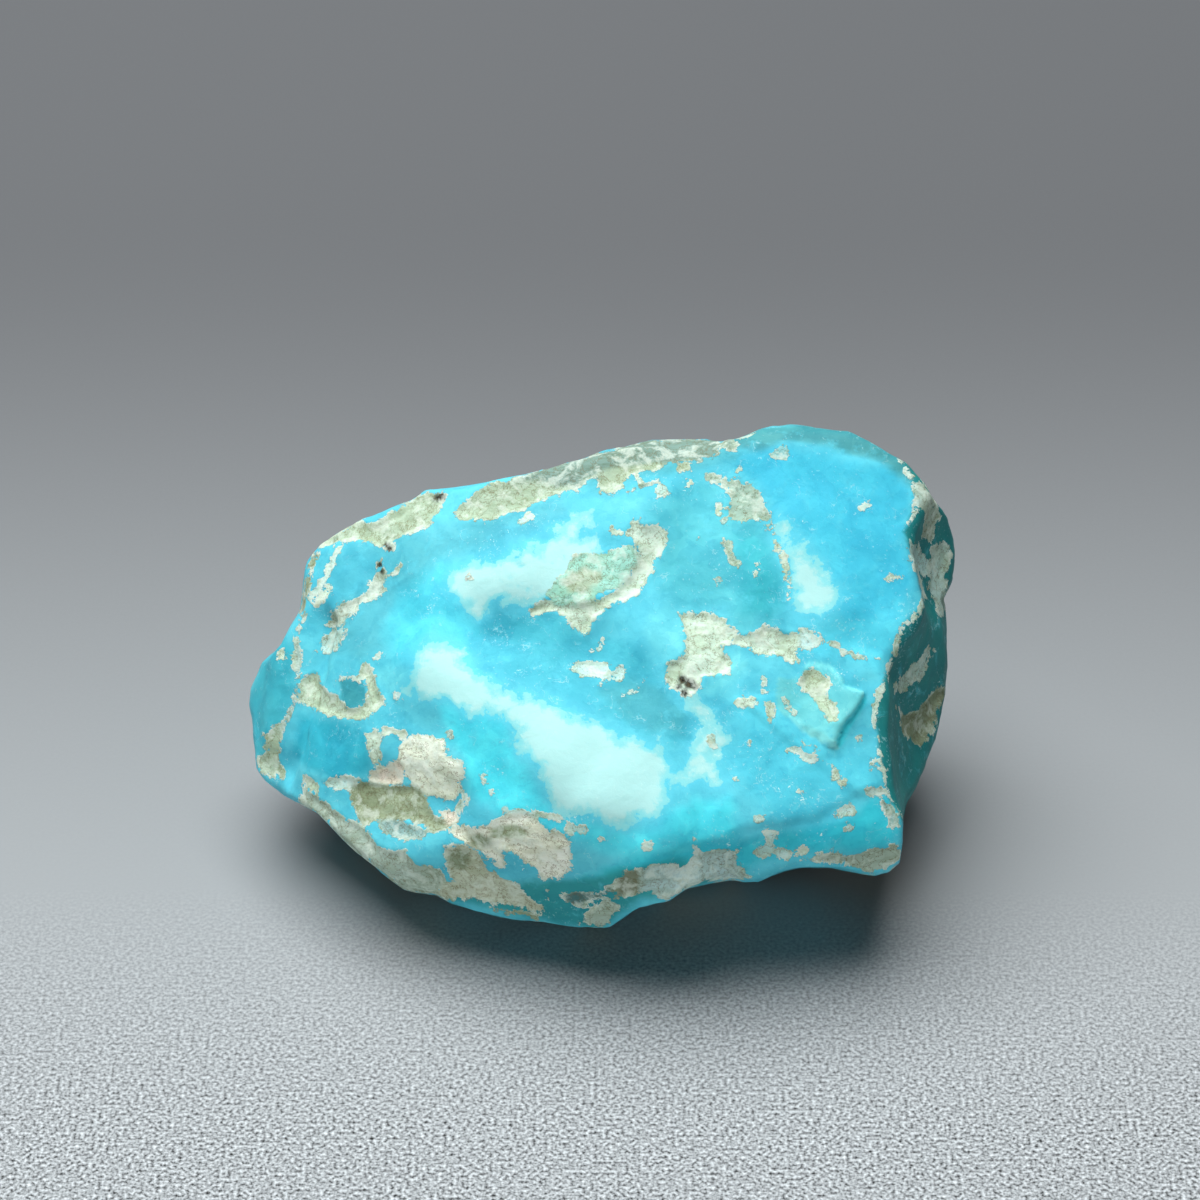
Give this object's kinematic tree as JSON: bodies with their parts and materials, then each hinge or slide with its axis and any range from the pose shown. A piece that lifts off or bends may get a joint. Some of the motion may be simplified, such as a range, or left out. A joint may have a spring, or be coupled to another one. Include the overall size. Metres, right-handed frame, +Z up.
{
  "type": "raw turquoise nugget",
  "caption": "Rough, unpolished nugget of turquoise with patches of tan host rock, resting on its flattest side.",
  "frame": {"origin": "middle of the stone's footprint box, on the surface it rests on", "axes": "+X along the long side towards the broken dark end, +Y towards the back, +Z up; the lit broken front looks towards -Y and up"},
  "size_m": [0.0354, 0.0244, 0.0209],
  "materials": {
    "turquoise": "waxy, unpolished turquoise with dull tan and grey-green patches of host rock"
  },
  "bodies": {
    "root": {"turquoise_nugget": "turquoise"}
  },
  "joints": []
}
